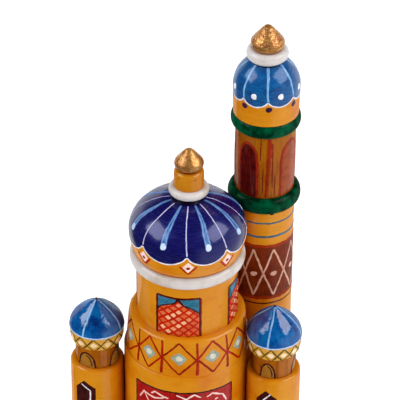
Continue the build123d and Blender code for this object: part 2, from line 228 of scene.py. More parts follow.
def bare_wood():
    """Plain birch of the hidden dowels."""
    make = Finish("bare_birch", Specular_IOR_Level=0.3)
    grain = make.noise((900, 900, 40), 5.0)
    make.into("Base Color", make.mix(grain, srgb(216, 182, 130), srgb(178, 136, 86)))
    make.into("Roughness", make.between(grain, -1.0, 1.4))
    make.into("Normal", make.bump(grain, 0.3, 0.0001))
    return make.material


def zinc():
    """Zinc-plated screws with slightly uneven plating."""
    make = Finish("zinc_plate", Metallic=1.0)
    cloud = make.noise((700, 700, 700))
    make.into("Base Color", make.mix(cloud, srgb(176, 170, 152), srgb(206, 204, 198)))
    make.into("Roughness", make.between(cloud, -0.4, 1.6))
    make.into("Normal", make.bump(cloud, 0.2, 0.00005))
    return make.material


# Lacquers have a main, a deep and a pale colour, and one for the painted shade in their corners; the yellow
# one also has a colour for painted bounce light.
LACQUERS = {
    "yellow_lacquer": lacquer(
        "yellow_lacquer_coat", (202, 127, 10), (188, 86, 0), (216, 150, 40), (134, 38, 0), bounce_light=(220, 112, 0)
    ),
    "brown_lacquer": lacquer(
        "brown_lacquer_coat", (158, 86, 4), (104, 42, 0), (182, 110, 18), (84, 26, 0),
        streak=0.8, upright=True,
    ),
    "blue_lacquer": lacquer(
        "blue_lacquer_coat", (0, 78, 148), (0, 36, 98), (12, 104, 166), (0, 20, 60),
        streak=0.7, mottle=1.0, lumps=2.2, grain=2.2, coat_ior=1.75, upright=True,
    ),
    "white_lacquer": lacquer(
        "white_lacquer_coat", (202, 195, 188), (172, 156, 136), (220, 218, 220), (140, 104, 70),
        mottle=0.8, lumps=0.4,
    ),
    "green_lacquer": lacquer(
        "green_lacquer_coat", (0, 50, 28), (0, 18, 8), (0, 88, 56), (0, 14, 8),
        mottle=1.0, lumps=1.0, rough=0.5, grain=3.2, gloss=0.14,
    ),
    "gold_paint": gilt("gilt_paint", 0.25, (900, 900, 700)),
    "bare_wood": bare_wood(),
    "screw_steel": zinc(),
}
OWN_FINISH = {
    "minaret_finial": gilt("gilt_paint_dabbed", 0.35, (1500, 1500, 1300)),
    "main_neck": lacquer("neck_lacquer_coat", (186, 114, 8), (168, 84, 0), (202, 136, 30), (120, 36, 0)),
    "minaret_gallery_drum": lacquer(
        "gallery_lacquer_coat", (146, 78, 4), (84, 30, 0), (180, 110, 10), (84, 22, 0),
        streak=0.95, upright=True, gloss=0.6,
    ),
}
# Paints have a slot, then a main, a deep and a pale colour.
PAINTS = {
    "navy": ("navy_lacquer", (14, 12, 82), (2, 2, 52), (34, 34, 112)),
    "blue": ("blue_lacquer", (0, 74, 136), (0, 40, 96), (24, 112, 168)),
    "white": ("white_lacquer", (222, 220, 224), (178, 180, 206), (240, 240, 240)),
    "chalk": ("white_lacquer", (200, 198, 178), (166, 166, 146), (228, 226, 210)),
    "lilac": ("white_lacquer", (176, 170, 214), (120, 116, 180), (224, 222, 240)),
    "light_blue": ("light_blue_paint", (58, 112, 170), (22, 68, 146), (116, 158, 206)),
    "pale_blue": ("light_blue_paint", (186, 208, 234), (132, 166, 214), (228, 238, 246)),
    "stroke_blue": ("light_blue_paint", (96, 138, 188), (52, 96, 166), (138, 172, 212)),
    "rib_blue": ("light_blue_paint", (112, 168, 212), (60, 124, 186), (176, 208, 232)),
    "red": ("red_paint", (150, 16, 0), (104, 4, 0), (184, 36, 2)),
    "brick": ("red_paint", (142, 34, 4), (110, 16, 0), (168, 60, 14)),
    "lattice_red": ("red_paint", (178, 20, 0), (140, 4, 0), (204, 44, 0)),
    "crimson": ("crimson_paint", (160, 16, 16), (122, 4, 6), (184, 44, 30)),
    "maroon": ("maroon_paint", (80, 10, 0), (50, 0, 0), (122, 32, 2)),
    "chestnut": ("maroon_paint", (96, 22, 2), (62, 4, 0), (140, 60, 22)),
    "frame": ("maroon_paint", (92, 8, 2), (56, 0, 0), (134, 20, 4)),
    "orange_brown": ("maroon_paint", (150, 62, 14), (112, 36, 4), (176, 92, 40)),
    "dark": ("dark_paint", (44, 12, 12), (22, 4, 8), (84, 30, 20)),
    "black": ("dark_paint", (12, 10, 24), (4, 4, 10), (30, 24, 60)),
    "purple": ("dark_paint", (48, 26, 58), (28, 10, 30), (80, 48, 84)),
    "cream": ("cream_paint", (208, 156, 126), (178, 108, 76), (234, 200, 182)),
    "pink_white": ("cream_paint", (232, 188, 176), (206, 130, 112), (248, 232, 226)),
    "cell": ("cream_paint", (206, 76, 12), (188, 40, 0), (244, 202, 154)),
    "cup_cell": ("cream_paint", (226, 196, 140), (204, 158, 70), (244, 228, 204)),
    "teal": ("teal_paint", (34, 106, 130), (28, 84, 102), (82, 134, 170)),
    "grey_blue": ("teal_paint", (58, 96, 112), (40, 70, 84), (110, 140, 148)),
    "grey_green": ("teal_paint", (140, 154, 134), (112, 128, 112), (172, 178, 168)),
    "olive": ("olive_paint", (92, 78, 26), (52, 38, 10), (120, 104, 40)),
    "alcove": ("olive_paint", (146, 92, 20), (112, 56, 8), (166, 116, 40)),
    "yellow": ("yellow_lacquer", (200, 146, 40), (180, 116, 14), (216, 172, 84)),
}
BRUSHWORK = {
    "navy": {"spread": 0.45, "rough": 0.16, "gloss": 0.7, "sheen": (0.3, 0.36, 1.0), "waves": 0.5},
    "blue": {"rough": 0.2, "gloss": 0.7, "sheen": (0.3, 0.5, 0.9), "waves": 0.8},
    "light_blue": {"under": (24, 50, 134)},
    "brick": {"gloss": 0.5},
    "maroon": {"gloss": 0.5},
    "chestnut": {"gloss": 0.5},
    "black": {"gloss": 0.4},
    "cell": {"spread": 0.4},
}
PAINT_FINISH = {
    colour: brushed(f"{colour}_brushwork", *tones, **BRUSHWORK.get(colour, {}))
    for colour, (_, *tones) in PAINTS.items()
}


# ---------------- painting on turned wood


class Turned:
    """The outside of one turned CAD piece: its axis, and its radius along the way up its side."""

    def __init__(self, node, bore=3.6, bottom=0.0):
        self.node = node
        low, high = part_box(node)
        self.x, self.y = (low.x + high.x) / 2 / MM, (low.y + high.y) / 2 / MM
        outline = {}
        for vertex in frame["nodes"][node].data.vertices:
            x, y, z = (value / MM for value in vertex.co)
            radius = math.hypot(x - self.x, y - self.y)
            height = round(z, 2)
            if radius > bore and height >= bottom:
                outline[height] = max(outline.get(height, 0.0), radius)
        heights = np.array(sorted(outline))
        radii = np.array([outline[height] for height in sorted(outline)])
        length = np.concatenate([[0], np.cumsum(np.hypot(np.diff(heights), np.diff(radii)))])
        self.s = np.linspace(0, length[-1], int(length[-1] / 0.15) + 2)
        self.z = np.interp(self.s, length, heights)
        self.r = np.interp(self.s, length, radii)
        rise, run = (
            np.convolve(np.pad(np.gradient(way, self.s), 2, mode="edge"), np.ones(5) / 5, mode="valid")
            for way in (self.z, self.r)
        )
        size = np.hypot(rise, run)
        self.out, self.up = rise / size, -run / size

    def along(self, height):
        """Distance up the side at which the piece has this height."""
        return np.interp(height, self.z, self.s)

    def radius(self, s):
        return np.maximum(np.interp(s, self.s, self.r), 0.05)

    def points(self, angle, s, lift):
        """Points in metres at an angle, a distance up the side and a lift off the surface."""
        radius = np.interp(s, self.s, self.r) + lift * np.interp(s, self.s, self.out)
        height = np.interp(s, self.s, self.z) + lift * np.interp(s, self.s, self.up)
        turn = np.radians(angle)
        x = self.x + radius * np.sin(turn)
        y = self.y - radius * np.cos(turn)
        return np.stack([x, y, height], axis=-1).reshape(-1, 3) * MM


def wander(distance, total, closed, reach):
    """A smooth random line between about -1 and 1, which meets itself on a closed stroke."""
    value = np.zeros_like(distance)
    for part in (1.0, 0.6, 0.35):
        turns = total / (reach * part * vary(0.7, 1.4))
        if closed:
            turns = max(1, round(turns))
        value += part * np.sin(2 * math.pi * (turns * distance / max(total, 1e-6) + RNG.random()))
    return value / 1.95


def rounded_path(points):
    """Catmull-Rom curve through control points, eight steps to a span."""
    if len(points) < 3:
        return points
    padded = np.vstack([2 * points[0] - points[1], points, 2 * points[-1] - points[-2]])
    curve = []
    for a, b, c, d in zip(padded, padded[1:], padded[2:], padded[3:]):
        bend, twist = 2 * a - 5 * b + 4 * c - d, 3 * b - a - 3 * c + d
        curve += [0.5 * (2 * b + (c - a) * t + bend * t**2 + twist * t**3) for t in np.arange(8) / 8]
    return np.array([*curve, points[-1]])


def stroke_steps(total, cap, closed):
    """Where a stroke is cut into rings: evenly, and closely at its round ends if it has any."""
    if closed:
        steps = max(12, int(total / 0.5))
        return np.arange(steps) * total / steps
    ends = cap * np.array([0, 0.04, 0.16, 0.38, 0.68, 1.0])
    inner = np.linspace(cap, total - cap, max(2, int(total / 0.42)))[1:-1]
    return np.concatenate([ends, inner, total - ends[::-1]])


def sideways(angle, s, radius, distance, closed):
    """Unit vector across a stroke: its part round the piece and its part up the side."""
    if closed:
        across = np.roll(angle, -1) - np.roll(angle, 1)
        across = (across + FULL_TURN / 2) % FULL_TURN - FULL_TURN / 2
        ahead, upward = np.radians(across) * radius, np.roll(s, -1) - np.roll(s, 1)
    else:
        ahead, upward = np.gradient(np.radians(angle), distance) * radius, np.gradient(s, distance)
    size = np.hypot(ahead, upward) + 1e-9
    return -upward / size, ahead / size


def tube_faces(rings, corners, closed):
    """Faces of a tube of equal rings, with a flat face on both ends unless it is closed."""
    faces = []
    for row in range(rings if closed else rings - 1):
        here, there = row * corners, (row + 1) % rings * corners
        for k in range(corners):
            following = (k + 1) % corners
            faces.append((here + k, here + following, there + following, there + k))
    if not closed:
        faces.append(tuple(range(corners)))
        faces.append(tuple(reversed(range((rings - 1) * corners, rings * corners))))
    return faces


def height_of(edge, angle):
    """Height of an edge that is a number or a function of the angle."""
    return edge(angle) if callable(edge) else edge


def film_columns(start, end, per_mm, closed):
    """Angles of a film's columns: even, and close together at its two ends if it has any."""
    steps = max(4, int((end - start) / per_mm / 0.5))
    if closed:
        return start + np.arange(steps) * FULL_TURN / steps
    rim = per_mm * np.array([0, 0.12, 0.3])
    return np.sort(np.concatenate([start + rim, np.linspace(start, end, steps)[2:-2], end - rim[::-1]]))


def film_rows(bottom, top):
    """Distances up the side of a film's rows, close together at its edges."""
    tall = top - bottom
    inner = max(2, int(tall.max() / 0.6))
    near, far = np.minimum(0.12, tall / 5), np.minimum(0.3, tall / 3)
    rows = [0 * tall, near, far]
    rows += [far + (tall - 2 * far) * k / inner for k in range(1, inner)]
    rows += [tall - far, tall - near, tall]
    return bottom[:, None] + np.stack(rows, axis=1)


def brushwork(along, aside):
    """Where each point lies in the streaks of its stroke; no two strokes start at the same streak."""
    seed = vary(0, 90)
    return np.stack([along.ravel() + seed, aside.ravel() + seed, np.full(along.size, seed)], axis=-1)


painted = []  # every Paint, in the order in which they were begun


class Paint:
    """Everything painted in one colour on one turned piece, joined in one closed mesh."""

    def __init__(self, side, colour, name, layer=0):
        self.side, self.colour = side, colour
        self.name = f"{side.node}_{name}"
        self.base = layer * COAT
        self.points, self.faces, self.brush, self.tone = [], [], [], []
        self.count = 0
        painted.append(self)

    def add(self, points, faces, brush, tone):
        self.points.append(points)
        self.faces += [[index + self.count for index in face] for face in faces]
        self.brush.append(brush)
        self.tone.append(np.full(len(points), vary(0.25, 0.75) if tone is None else tone))
        self.count += len(points)

    def stroke(self, control, width, wobble=0.05, closed=False, sharp=False, tone=None, coat=COAT):
        """A brush stroke through (angle, height) points. Width is one number or several along it."""
        side = self.side
        path = np.array([(angle, side.along(height)) for angle, height in control], float)
        if not sharp:
            path = rounded_path(path)
        arc = np.radians(np.diff(path[:, 0])) * side.radius((path[1:, 1] + path[:-1, 1]) / 2)
        length = np.concatenate([[0], np.cumsum(np.hypot(arc, np.diff(path[:, 1])))])
        total = length[-1]
        widths = np.atleast_1d(np.asarray(width, float))
        cap = min(widths.mean() / 2, total / 3)
        distance = stroke_steps(total, cap, closed)
        angle = np.interp(distance, length, path[:, 0])
        s = np.interp(distance, length, path[:, 1])
        radius = side.radius(s)
        across_x, across_s = sideways(angle, s, radius, distance, closed)
        half = np.interp(distance / total, np.linspace(0, 1, len(widths)), widths) / 2
        half = half * (1 + 0.16 * wander(distance, total, closed, 3.5))
        drift = wobble * wander(distance, total, closed, 7.0)
        rounding = np.ones_like(distance)
        if not closed:
            gap = np.minimum(distance, total - distance) / cap
            rounding = np.sqrt(np.clip(1 - (1 - np.minimum(gap, 1)) ** 2, 0.02, 1))
        section = np.array([-1, -0.82, -0.45, 0, 0.45, 0.82, 1, 0])
        crown = np.array([0, 0.6, 0.93, 1, 0.93, 0.6, 0, 0])
        offset = drift[:, None] + section[None, :] * (half * rounding)[:, None]
        lift = (self.base + coat * rounding)[:, None] * crown[None, :]
        lift[:, [0, 6]] = SUNK
        lift[:, 7] = UNDERSIDE
        angles = angle[:, None] + np.degrees(offset * across_x[:, None] / radius[:, None])
        lengths = np.clip(s[:, None] + offset * across_s[:, None], 0.0, side.s[-1])
        points = side.points(angles, lengths, lift)
        brush = brushwork(np.repeat(distance, len(section)), offset)
        self.add(points, tube_faces(len(distance), len(section), closed), brush, tone)

    def film(self, start, end, low, high, uneven=0.05, tone=None, grain="up"):
        """A filled patch between two angles and two edges, each a height or a function of the angle."""
        side = self.side
        closed = end - start > FULL_TURN - 0.5
        middle = side.along(height_of(low, (start + end) / 2))
        per_mm = math.degrees(1 / float(side.radius(middle)))
        angle = film_columns(start, end, per_mm, closed)
        arc = np.abs(angle - start) / per_mm
        edges = []
        for edge in (low, high):
            way = side.along(np.array([height_of(edge, a) for a in angle], float))
            edges.append(way + uneven * wander(arc, max(arc[-1], 1.0), closed, 4.0))
        bottom = np.clip(edges[0], 0, side.s[-1])
        s = film_rows(bottom, np.clip(np.maximum(edges[1], bottom + 0.15), 0, side.s[-1]))
        columns, across = s.shape
        crown = np.ones((columns, across))
        crown[:, [1, -2]] = 0.7
        rim = np.zeros((columns, across), bool)
        rim[:, [0, -1]] = True
        if not closed:
            crown[[1, -2], :] = 0.7
            rim[[0, -1], :] = True
        lift = np.where(rim, SUNK, crown * (self.base + COAT))
        angles = np.repeat(angle[:, None], across, axis=1)
        outer = side.points(angles, s, lift)
        inside = side.points(angles, s, np.full_like(lift, UNDERSIDE))
        upper = np.arange(columns * across).reshape(columns, across)
        lower = upper.copy()
        lower[~rim] = columns * across + np.arange((~rim).sum())
        faces = []
        for c in range(columns if closed else columns - 1):
            following = (c + 1) % columns
            for k in range(across - 1):
                quad = [(c, k), (following, k), (following, k + 1), (c, k + 1)]
                faces.append([int(upper[q]) for q in quad])
                faces.append([int(lower[q]) for q in reversed(quad)])
        brush = brushwork(s, angles / per_mm) if grain == "up" else brushwork(angles / per_mm, s)
        hidden = ~rim.ravel()
        self.add(np.vstack([outer, inside[hidden]]), faces, np.vstack([brush, brush[hidden]]), tone)

    def dot(self, angle, height, wide, tall, lean=0.0, point=0.0, corners=0.0, tone=None, coat=COAT):
        """A dab of paint: an oval, drawn out to a point above, or squared into a diamond."""
        side = self.side
        s = float(side.along(height))
        radius = float(side.radius(s))
        rings = np.array([0.35, 0.65, 0.86, 0.96, 1.0])
        crown = np.array([1.0, 0.95, 0.75, 0.45, 0.0])
        count = 20
        around = np.arange(count) * 2 * math.pi / count
        two, three = vary(0, 6), vary(0, 6)
        reach = 1 + 0.05 * np.sin(2 * around + two) + 0.04 * np.sin(3 * around + three)
        reach = reach + point * np.clip(np.sin(around), 0, 1) ** 6
        square = 1 / (np.abs(np.cos(around)) + np.abs(np.sin(around)))
        reach = reach * (1 - corners + corners * square)
        turn = math.radians(lean)
        x = rings[:, None] * (reach * np.cos(around))[None, :] * wide / 2
        y = rings[:, None] * (reach * np.sin(around))[None, :] * tall / 2
        x, y = x * math.cos(turn) - y * math.sin(turn), x * math.sin(turn) + y * math.cos(turn)
        lift = np.repeat((crown * (self.base + coat))[:, None], count, axis=1)
        lift[-1] = SUNK
        flat_x = np.concatenate([[0], x.ravel(), [0]])
        flat_y = np.concatenate([[0], y.ravel(), [0]])
        flat_lift = np.concatenate([[self.base + coat], lift.ravel(), [UNDERSIDE]])
        way = np.clip(s + flat_y, 0, side.s[-1])
        points = side.points(angle + np.degrees(flat_x / radius), way, flat_lift)
        faces = []
        last = len(points) - 1
        for k in range(count):
            following = (k + 1) % count
            faces.append((0, 1 + k, 1 + following))
            for ring in range(len(rings) - 1):
                here, there = 1 + ring * count, 1 + (ring + 1) * count
                faces.append((here + k, there + k, there + following, here + following))
            faces.append((last - count + k, last, last - count + following))
        self.add(points, faces, brushwork(flat_x, flat_y), tone)

    def tube(self, rings, closed, tone):
        """A band or a bar through rings of points in millimetres."""
        points = np.array(rings)
        count, corners, _ = points.shape
        flat = points.reshape(-1, 3)
        self.add(flat * MM, tube_faces(count, corners, closed), flat, tone)

    def build(self):
        """Make the mesh, with its paint and its ride."""
        mesh = bpy.data.meshes.new(self.name)
        mesh.from_pydata(np.vstack(self.points).tolist(), [], self.faces)
        shell = bmesh.new()
        shell.from_mesh(mesh)
        bmesh.ops.recalc_face_normals(shell, faces=shell.faces)
        shell.to_mesh(mesh)
        shell.free()
        mesh.shade_smooth()
        brush = mesh.attributes.new("brush", "FLOAT_VECTOR", "POINT")
        brush.data.foreach_set("vector", np.vstack(self.brush).astype(np.float32).ravel())
        tone = mesh.attributes.new("tone", "FLOAT", "POINT")
        tone.data.foreach_set("value", np.concatenate(self.tone).astype(np.float32))
        mesh.materials.append(PAINT_FINISH[self.colour])
        piece = add_object(self.name, mesh)
        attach(piece, "root")


def ring_line(paint, height, width, wobble=0.08, tone=None):
    """A painted line all the way round a piece."""
    control = [(angle, height) for angle in np.linspace(0, FULL_TURN, 25)]
    paint.stroke(control, width, wobble, closed=True, sharp=True, tone=tone)


def repeat(first, count):
    """Angles of a motif that comes back evenly round the piece."""
    return [first + FULL_TURN * k / count for k in range(count)]


def gap_shadow(dome, collar, foot, rise, spill):
    """Painted shadow: a black ring in the groove between a dome's flat seat and the collar's narrow foot."""
    side, ring = Turned(dome), Turned(collar)
    seat, outer = float(side.z[-1]), float(side.r[-1])
    section = [  # axis, radius, height above the seat
        (ring, foot - 0.1, -0.05), (side, outer + spill, -spill), (side, outer + spill, 0.04),
        (side, outer - 0.1, 0.09), (ring, foot + 0.25, 0.1), (ring, foot + 0.12, 0.3),
        (ring, foot + 0.12, rise), (ring, foot - 0.1, rise),
    ]
    rings = []
    for turn in np.radians(repeat(0, 96)):
        x, y = math.sin(turn), -math.cos(turn)
        rings.append([(axis.x + r * x, axis.y + r * y, seat + height) for axis, r, height in section])
    Paint(side, "black", "gap_shadow").tube(rings, closed=True, tone=0.5)


# ---------------- main tower


def scallops(cusps, cusp_z, lobe_z):
    """Lower edge of a ring of petals, as a function of the angle."""
    roundness = 0.55
    ordered = sorted(angle % FULL_TURN for angle in cusps)
    ordered = [ordered[-1] - FULL_TURN] + ordered + [ordered[0] + FULL_TURN]

    def edge(angle):
        angle = angle % FULL_TURN
        for left, right in zip(ordered, ordered[1:]):
            if left <= angle <= right:
                share = (angle - left) / (right - left)
                return cusp_z - (cusp_z - lobe_z) * math.sin(math.pi * share) ** roundness
        return lobe_z

    return edge


def paint_petals(petals, border, cusps, cusp_z, lobe_z, tone, width):
    """Petals from a dome's seat down, and one rounded stroke under each, from cusp to cusp."""
    edge = scallops(cusps, cusp_z, lobe_z)
    seat = float(petals.side.z[-1])
    petals.film(0, FULL_TURN, edge, seat, uneven=0, tone=tone, grain="round")
    for left, right in zip(cusps, cusps[1:] + [cusps[0] + FULL_TURN]):
        angles = np.linspace(left + 0.3, right - 0.3, 15)
        border.stroke([(angle, edge(angle)) for angle in angles], width, 0.03, sharp=True, tone=0.6)


def paint_main_dome():
    dome = Turned("main_dome")
    cusps = [-43, 5.3, 46.9, 91, 136, 181, 227, 272]
    strokes = [-19.7, 27, 70, 114, 158, 204, 249, 292.5]
    cusp_z, lobe_z, stroke_foot = 112.7, 108.6, 114.9
    seat = float(dome.z[-1])
    navy = Paint(dome, "navy", "petals")
    white = Paint(dome, "white", "white_lines", layer=1)
    paint_petals(navy, white, cusps, cusp_z, lobe_z, 0.45, 0.55)
    lilac = Paint(dome, "lilac", "petal_lines", layer=1)
    for angle in cusps:
        lean = vary(-1.5, 1.5)
        control = [(angle, cusp_z), (angle - 1, 117.5), (angle + lean, 121.6), (angle + 1.5, seat - 0.12)]
        lilac.stroke(control, (0.55, 0.4, 0.42, 0.5), 0.06, tone=vary(0.45, 0.8))
    pale = Paint(dome, "pale_blue", "stroke_ends", layer=2)
    for angle in strokes:
        pale.dot(angle + 0.3, stroke_foot, 2.2, 2.5, corners=-0.12, coat=0.1)
    blue = Paint(dome, "light_blue", "light_blue_strokes", layer=1)
    light = Paint(dome, "stroke_blue", "stroke_edges", layer=1)
    for angle in strokes:
        top = (angle + vary(2, 5), seat - 0.1)
        control = [top, (angle + 1.5, 121), (angle, 118.4), (angle + 0.5, stroke_foot)]
        blue.stroke(control, (0.9, 1.5, 2.3, 2.5), 0.03, tone=0.4)
        for edge in (-0.42, 0.42):
            beside = [(a + edge * spread, z) for (a, z), spread in zip(control, (2.5, 4, 5, 5.4))]
            light.stroke(beside, (0.3, 0.5, 0.6, 0.7), 0.08, tone=vary(0.4, 0.75), coat=0.065)
    fill = Paint(dome, "pink_white", "skirt_diamonds")
    red = Paint(dome, "red", "skirt_lines", layer=1)
    for angle in cusps:
        centre, half = angle + 1.2, 5.6
        fill.film(
            centre - half, centre + half,
            lambda a: 105.5 + 2.6 * abs(a - centre) / half,
            lambda a: 110.4 - 2.2 * abs(a - centre) / half,
            uneven=0, tone=0.8,
        )
        red.stroke([(centre - 8.6, 108.5), (centre, 104.7)], 0.7, 0.04, tone=0.7)
        red.stroke([(centre, 104.7), (centre + 8.6, 108.5)], 0.75, 0.04, tone=0.7)
        red.dot(centre, 107.7, 1.5, 1.3, lean=35, tone=0.3)
    ring_line(Paint(dome, "orange_brown", "skirt_rim"), 102.75, 0.45, 0.04)


WINDOW_HALF, WINDOW_FOOT, WINDOW_TOP = 25.4, 76.59, 93.0
WINDOW_ARCH = [
    (-24.9, 86.5), (-20.5, 88.4), (-12.2, 89.8), (-4.6, 90.7), (-2, 91.5), (-0.7, 92.6),
    (2.4, 91.6), (6.7, 90), (14, 89), (19.6, 87.7), (24.5, 86.4),
]
WHITE_CELLS = [(2, 0), (6, 2), (4, 3), (5, 1), (4, 1), (3, 0), (6, -1), (5, -1), (3, 2)]
CELL_RISE = 1.475


def window_arch(angle, centre):
    """Height of the ogee arch inside a window."""
    return float(np.interp(angle - centre, *zip(*WINDOW_ARCH)))


def under_arch(centre, angle, height, beside, below, above):
    """Whether a spot is inside a window's arch, with these margins at its sides, foot and top."""
    low, high = WINDOW_FOOT + below, window_arch(angle, centre) - above
    return abs(angle - centre) < WINDOW_HALF - beside and low < height < high


def lattice_angle(index, centre):
    """Where the columns of a window's lattice stand, a little wider spaced to the left."""
    return centre + 17.7 - 5.3 * index - 0.1 * index * abs(index)


def paint_cells(cells, centre):
    for index in range(-1, 9):
        for row in range(-3, 5):
            angle = lattice_angle(index, centre)
            height = 82.7 + 2 * CELL_RISE * row - (CELL_RISE if index % 2 else 0)
            if under_arch(centre, angle, height, 2.5, 0.8, 1):
                tone = vary(0.9, 1) if (index, row) in WHITE_CELLS else vary(0.25, 0.72)
                cells.dot(angle, height, 2.3, 2, lean=vary(-12, 12), corners=0.8, tone=tone)


def paint_lattice(lattice, centre):
    for rise in (-CELL_RISE, CELL_RISE):
        for line in range(-7, 8):
            control = []
            for step in np.linspace(-2, 9, 89):
                spot = (lattice_angle(step, centre), 84.17 + rise * step + 2 * CELL_RISE * line)
                if under_arch(centre, *spot, 0.3, 0, 0.2):
                    control.append(spot)
            if len(control) > 5:
                control = control[:: max(1, len(control) // 6)] + [control[-1]]
                width, tone = vary(0.68, 0.95), vary(0.4, 0.7)
                lattice.stroke(control, width, 0.1, sharp=True, tone=tone)


def paint_upper_drum():
    drum = Turned("main_upper_drum")
    half, foot, top = WINDOW_HALF, WINDOW_FOOT, WINDOW_TOP
    ground = Paint(drum, "cell", "window_grounds")
    cells = Paint(drum, "cell", "window_cells", layer=1)
    teal = Paint(drum, "teal", "window_panes")
    lattice = Paint(drum, "lattice_red", "window_lattice", layer=2)
    frames = Paint(drum, "frame", "window_frames", layer=3)
    arches = Paint(drum, "dark", "window_arches", layer=3)
    for centre in (-4.7, 85.3, 171, 248):
        ground.film(centre - half, centre + half, foot + 0.2, lambda a: window_arch(a, centre), tone=0.4)
        for start, end in ((centre - half, centre - 0.8), (centre - 0.6, centre + half)):
            teal.film(start, end, lambda a: window_arch(a, centre), top, grain="round", tone=0.5)
        paint_cells(cells, centre)
        paint_lattice(lattice, centre)
        for edge in (-half, half):
            frames.stroke([(centre + edge, foot), (centre + edge * 0.995, top)], 1, 0.06, tone=0.5)
        frames.stroke([(centre - half, top), (centre, top - 0.15), (centre + half, top)], 0.8, 0.06, tone=0.2)
        outline = [(centre + a, z) for a, z in WINDOW_ARCH]
        arches.stroke(outline[:6], (0.5, 0.55, 0.7), 0.04, tone=0.3)
        arches.stroke(outline[5:], (0.9, 0.65, 0.5), 0.04, tone=0.25)


def paint_tier():
    tier = Turned("main_diamond_tier")
    bars = [-47.6, -19.1, 15.45, 47.2, 79.9, 112.6, 145.3, 178, 210.8, 243.6, 276.5]
    low, waist, high = 62.8, 69.1, 75.8
    lines = Paint(tier, "red", "red_lines", layer=1)
    hearts = Paint(tier, "grey_green", "diamond_hearts")
    whites = Paint(tier, "chalk", "heart_dots", layer=1)
    for left, right in zip(bars, bars[1:] + [bars[0] + FULL_TURN]):
        centre = (left + right) / 2 + vary(-0.6, 0.6)
        lines.stroke([(left, 75.9), (left + 0.6, 69.5), (left, 62.5)], (0.8, 0.95, 1.25), 0.06)
        corners = [(left + 0.6, waist), (centre, high), (right - 0.6, waist - 0.3), (centre, low)]
        for start, end in zip(corners, corners[1:] + corners[:1]):
            lines.stroke([start, end], vary(0.68, 0.88), 0.08)
        hearts.dot(centre, waist + 0.2, 5.6, 5.6, corners=0.85, tone=vary(0.45, 0.65))
        whites.dot(centre, waist + 0.3, 2.5, 2.3, lean=-18, tone=0.5, coat=0.1)


PORTAL_ORNAMENT = [
    [(-43.2, 48.2), (-37.4, 52), (-32.3, 48.5)],
    [(-37, 51.6), (-31, 51.2), (-25.5, 50.9), (-17.4, 51.7)],
    [(-29.4, 52.4), (-25.5, 53.7), (-20.5, 53), (-16.4, 52.5)],
    [(-16.4, 52.5), (-17.4, 51.7)],
    [(-16.4, 52.5), (-11.9, 52)],
    [(-4.6, 54.2), (4.5, 52.3), (11.5, 54.4), (18.1, 52.9)],
    [(23.4, 52.7), (28.9, 53.8), (40.8, 51.5)],
    [(40, 51.9), (44.2, 48.3)],
    [(31.5, 50.6), (34.7, 51.1)],
]


def paint_lower_drum():
    drum = Turned("main_lower_drum", bore=15)
    left, right, low, high = -45.9, 51.8, 13, 55.1
    Paint(drum, "crimson", "portal_panel").film(left, right, low, high, tone=0.45)
    edge = Paint(drum, "dark", "portal_edge", layer=1)
    for angle, bulge, width in ((left, -0.3, 0.62), (right, 0.3, 0.7)):
        edge.stroke([(angle, low), (angle + bulge, 35), (angle, high)], width, 0.06, tone=0.25)
    for height in (high, low):
        edge.stroke([(angle, height) for angle in np.linspace(left, right, 9)], 0.6, 0.08, tone=0.25)
    ornament = Paint(drum, "pink_white", "portal_ornament", layer=1)
    for control in PORTAL_ORNAMENT:
        control = [(angle + 1.6, height) for angle, height in control]
        ornament.stroke(control, (0.6, 0.85, 0.6), 0.1, sharp=True, tone=vary(0.3, 0.8))
    middle = (left + right) / 2
    for row, height in enumerate((44, 34, 24)):
        for side in (-1, 1):
            for column in range(4):
                near, far = middle + side * column * 11.4, middle + side * (column + 1) * 11.4
                swing = 3.2 if (column + row) % 2 else -3.2
                ornament.stroke([(near, height + swing), (far, height - swing)], (0.5, 0.6, 0.4), 0.08)
                if column % 2 == row % 2:
                    ornament.dot((near + far) / 2, height - 4.6, 1.6, 1.1, lean=20 * side)


def paint_neck():
    neck = Turned("main_neck", bore=2.7, bottom=128.6)
    dashes = Paint(neck, "orange_brown", "groove_dashes")
    for angle in (-38, 30, 78, 150, 215, 290):
        dashes.stroke([(angle - 8, 133.5), (angle + 8, 133.4)], (0.25, 0.4, 0.25), 0.03)


# ---------------- side towers


SIDE_RIM = 69.6
LANTERN_FOOT = 55.35
SIDE_TOWERS = {
    "left": {
        "lift": -0.4, "rib": -22, "crossings": 12, "crossing": -14, "alcove": -22, "half": 25,
        "gable": [(-45.5, 45.8), (-23, 50), (3.1, 47.1)],
        "gleam": [(-29.8, 48.1), (-9, 46.1), (-8.6, 43.9), (-10, 38), (-10, 28)],
    },
    "right": {
        "lift": 0.5, "rib": -9, "crossings": 13, "crossing": -16.5, "alcove": -12, "half": 20.5,
        "gable": [(-33.5, 47), (-11.3, 51.5), (14.3, 47.6)],
        "gleam": [(-1.3, 50), (-15.3, 47.3), (-24, 44.5), (-24.5, 38), (-24.5, 28)],
    },
}


def arch(centre, half, foot, rise):
    """Height of a half-oval arch, as a function of the angle."""
    return lambda angle: foot + rise * math.sqrt(max(0, 1 - ((angle - centre) / half) ** 2))


def paint_side_dome(side, look):
    rim = SIDE_RIM + look["lift"]
    dome = Turned(f"{side}_tower_dome", bore=0, bottom=rim)
    tip = float(dome.z[-1])
    rise = tip - rim
    ribs = Paint(dome, "rib_blue", "ribs")
    for angle in repeat(look["rib"], 4):
        upper = [(angle + lean, rim + share * rise) for lean, share in ((0, 0.35), (3, 0.7), (4, 0.94))]
        ribs.stroke([(angle - 1, rim + 0.2), *upper], (0.75, 0.7, 0.65, 0.5), 0.05, tone=0.5)
    ring_line(Paint(dome, "pale_blue", "seam_line", layer=1), rim + 0.25, 0.6, 0.05, tone=0.3)
    Paint(dome, "dark", "tip").film(0, FULL_TURN, tip - 0.9, tip - 0.12, uneven=0.1)


